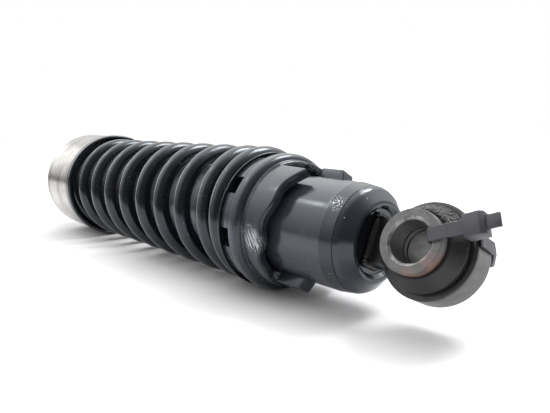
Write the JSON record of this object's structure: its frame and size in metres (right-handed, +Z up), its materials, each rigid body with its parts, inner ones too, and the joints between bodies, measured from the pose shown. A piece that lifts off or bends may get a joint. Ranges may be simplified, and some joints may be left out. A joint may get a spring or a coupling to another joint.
{
  "type": "motorcycle rear shock absorber",
  "caption": "Twin-shock rear damper with a coil spring, a stepped preload collar, a chrome spring cover and a rubber-bushed eye at each end.",
  "frame": {"origin": "centre of the lower eye's bore", "axes": "X along the damper's axis with the lower eye at the +X end; +Z up as it lies; both bolt axes are rolled 25.4 degrees about X, so the near (-Y) end of each bore is raised"},
  "size_m": [0.3776, 0.0742, 0.0742],
  "materials": {
    "black_paint": "gloss black paint",
    "spring_paint": "gloss black powder coat",
    "collar_paint": "gloss black, chipped",
    "bright_chrome": "polished chrome",
    "bush_rubber": "weathered rubber",
    "bare_steel": "weathered bare steel",
    "zinc_steel": "zinc plated",
    "inner_steel": "machined",
    "cast_alloy": "machined casting",
    "bronze": "sintered bronze",
    "seal_rubber": "moulded rubber",
    "band_plastic": "filled plastic"
  },
  "bodies": {
    "damper_body": {"damper_tube": "black_paint", "end_cap": "black_paint", "lower_eye": "black_paint", "lower_bush": "bush_rubber", "cam_lug_1": "black_paint", "cam_lug_2": "black_paint", "pressure_tube": "inner_steel", "foot_valve": "inner_steel", "rod_guide": "cast_alloy", "guide_bush": "bronze", "oil_seal": "seal_rubber", "closing_nut": "zinc_steel", "rod_wiper": "seal_rubber"},
    "lower_sleeve": {"lower_sleeve": "bare_steel"},
    "lower_seat": {"seat_washer": "black_paint", "main_spring": "spring_paint"},
    "preload_collar": {"preload_collar": "collar_paint"},
    "spring_top": {"upper_spring_seat": "zinc_steel", "spring_cover": "bright_chrome", "cover_rim": "black_paint"},
    "rod_assembly": {"upper_eye": "black_paint", "upper_bush": "bush_rubber", "damper_rod": "bright_chrome", "lock_nut": "zinc_steel", "stop_washer": "zinc_steel", "bump_stop": "seal_rubber", "piston": "cast_alloy", "piston_band": "band_plastic", "piston_nut": "zinc_steel", "rebound_shim_1": "inner_steel", "rebound_shim_2": "inner_steel", "rebound_shim_3": "inner_steel", "compression_shim_1": "inner_steel", "compression_shim_2": "inner_steel", "compression_shim_3": "inner_steel", "top_out_ring": "seal_rubber"},
    "upper_sleeve": {"upper_sleeve": "bare_steel"}
  },
  "joints": [
    {"name": "lower_bush_twist", "type": "hinge", "parent": "damper_body", "child": "lower_sleeve", "pos_m": [0, 0, 0], "axis": [0, -0.9033, 0.4289], "range_deg": [-12, 12], "stiffness_Nm_per_rad": 20},
    {"name": "preload_lift", "type": "slide", "parent": "damper_body", "child": "lower_seat", "axis": [-1, 0, 0], "range_m": [0, 0.0108]},
    {"name": "adjuster_turn", "type": "hinge", "parent": "lower_seat", "child": "preload_collar", "pos_m": [-0.08, 0, 0], "axis": [1, 0, 0], "range_deg": [0, 108]},
    {"name": "damper_stroke", "type": "slide", "parent": "lower_seat", "child": "spring_top", "axis": [1, 0, 0], "range_m": [0, 0.07], "stiffness_N_per_m": 20000, "springref_m": -0.015, "deforming": ["main_spring"]},
    {"name": "rod_swivel", "type": "hinge", "parent": "spring_top", "child": "rod_assembly", "pos_m": [-0.31, 0, 0], "axis": [1, 0, 0], "continuous": true},
    {"name": "upper_bush_twist", "type": "hinge", "parent": "rod_assembly", "child": "upper_sleeve", "pos_m": [-0.34, 0, 0], "axis": [0, -0.9033, 0.4289], "range_deg": [-12, 12], "stiffness_Nm_per_rad": 20}
  ],
  "couplings": [
    {"joint": "adjuster_turn", "follows": "preload_lift", "rad_per_m": 174.53}
  ]
}
